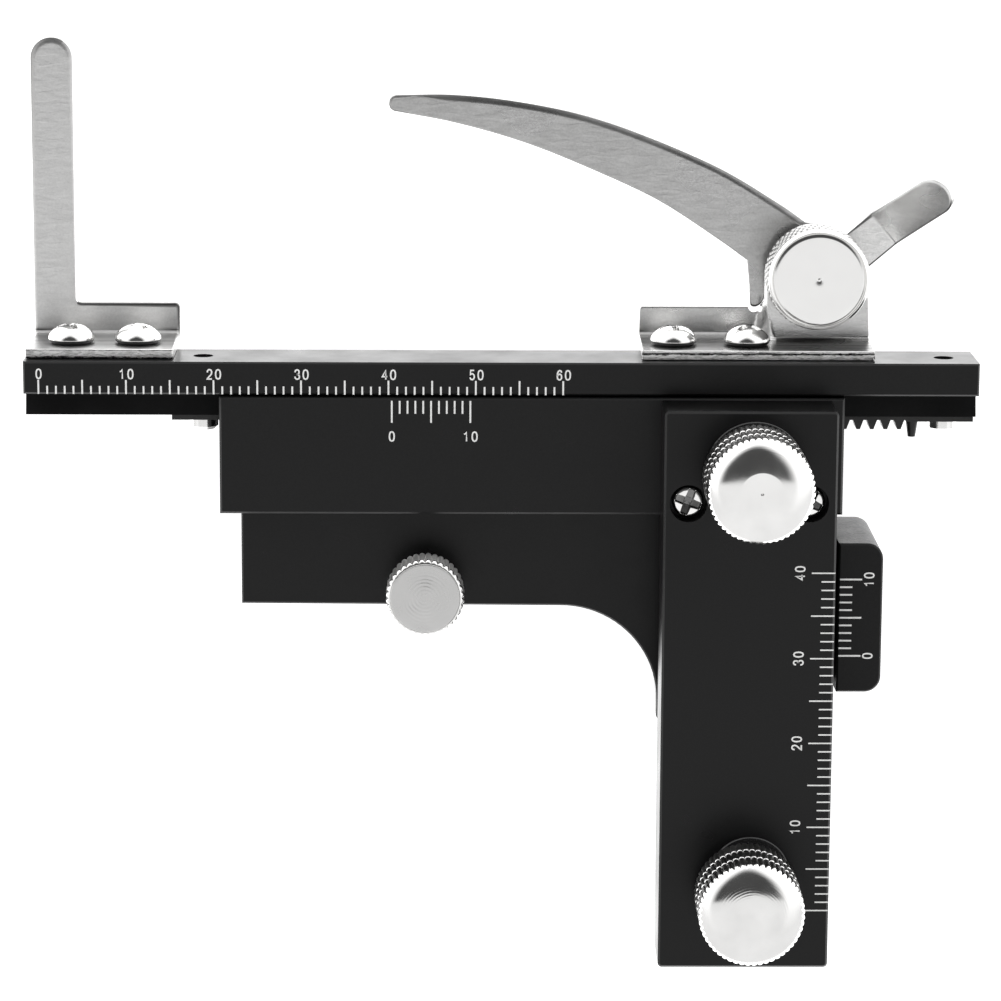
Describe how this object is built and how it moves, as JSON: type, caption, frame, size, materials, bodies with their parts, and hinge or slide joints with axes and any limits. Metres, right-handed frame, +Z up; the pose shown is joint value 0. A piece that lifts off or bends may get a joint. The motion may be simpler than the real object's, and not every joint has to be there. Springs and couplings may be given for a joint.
{
  "type": "mechanical microscope stage",
  "caption": "Clamp-on mechanical microscope stage: rack-driven cross slides with vernier scales, knurled knobs and a spring finger that holds the slide.",
  "frame": {"origin": "axis of the clamp thumb screw on the underside of the arm, which lies on the microscope's own stage", "axes": "+X along the X beam and the slide's long direction, towards the spring finger's pivot; +Y across it, from the Y knob towards the fingers; +Z up from the stage surface, towards the knobs"},
  "size_m": [0.1095, 0.1056, 0.034],
  "materials": {
    "black_anodised": "black anodised, fine bead-blasted satin",
    "bright_nickel": "nickel plated, turned and knurled",
    "sheet_nickel": "satin nickel plated sheet",
    "screw_steel": "bright nickel plated",
    "rack_steel": "dark oiled steel",
    "shaft_steel": "ground steel",
    "bush_metal": "dark anodised ring",
    "spring_steel": "spring wire"
  },
  "bodies": {
    "base": {"base_bracket": "black_anodised", "y_vernier_block": "black_anodised", "vernier_block_screws": "screw_steel", "y_rack": "rack_steel", "y_rack_screws": "screw_steel"},
    "y_carriage": {"y_block": "black_anodised", "x_body": "black_anodised", "carriage_screws": "screw_steel", "x_shaft_bush": "bush_metal", "y_shaft_bush": "bush_metal"},
    "x_slide": {"x_beam": "black_anodised", "x_rack": "rack_steel", "x_rack_screws": "screw_steel", "rack_stop_pins": "rack_steel", "fixed_finger_bracket": "sheet_nickel", "pivot_bracket": "sheet_nickel", "bracket_screws": "screw_steel", "pivot_post": "shaft_steel", "pivot_cap": "bright_nickel"},
    "x_drive": {"x_knob": "bright_nickel", "x_pinion_shaft": "shaft_steel", "x_knob_set_screw": "screw_steel"},
    "y_drive": {"y_knob": "bright_nickel", "y_pinion_shaft": "shaft_steel", "y_knob_set_screw": "screw_steel"},
    "finger": {"spring_finger": "sheet_nickel", "torsion_spring": "spring_steel"},
    "clamp_screw_body": {"thumb_screw": "bright_nickel", "thumb_screw_washer": "screw_steel"}
  },
  "joints": [
    {"name": "y_travel", "type": "slide", "parent": "base", "child": "y_carriage", "axis": [0, 1, 0], "range_m": [0, 0.0296]},
    {"name": "x_travel", "type": "slide", "parent": "y_carriage", "child": "x_slide", "axis": [1, 0, 0], "range_m": [-0.014, 0.054]},
    {"name": "x_knob_turn", "type": "hinge", "parent": "y_carriage", "child": "x_drive", "pos_m": [0.03725, 0.01495, 0.0287], "axis": [0, 0, 1], "range_deg": [-826, 214]},
    {"name": "y_knob_turn", "type": "hinge", "parent": "y_carriage", "child": "y_drive", "pos_m": [0.03705, -0.0338, 0.0287], "axis": [0, 0, 1], "range_deg": [-1, 453]},
    {"name": "finger_open", "type": "hinge", "parent": "x_slide", "child": "finger", "pos_m": [0.04525, 0.03545, 0.0007], "axis": [0, 0, -1], "range_deg": [0, 24], "stiffness_Nm_per_rad": 0.03, "springref_deg": -45.84, "deforming": ["torsion_spring"]},
    {"name": "clamp_screw_turn", "type": "hinge", "parent": "base", "child": "clamp_screw_body", "pos_m": [0, 0, 0.018], "axis": [0, 0, 1], "continuous": true}
  ],
  "couplings": [
    {"joint": "x_knob_turn", "follows": "x_travel", "rad_per_m": -266.67},
    {"joint": "y_knob_turn", "follows": "y_travel", "rad_per_m": 266.67}
  ]
}
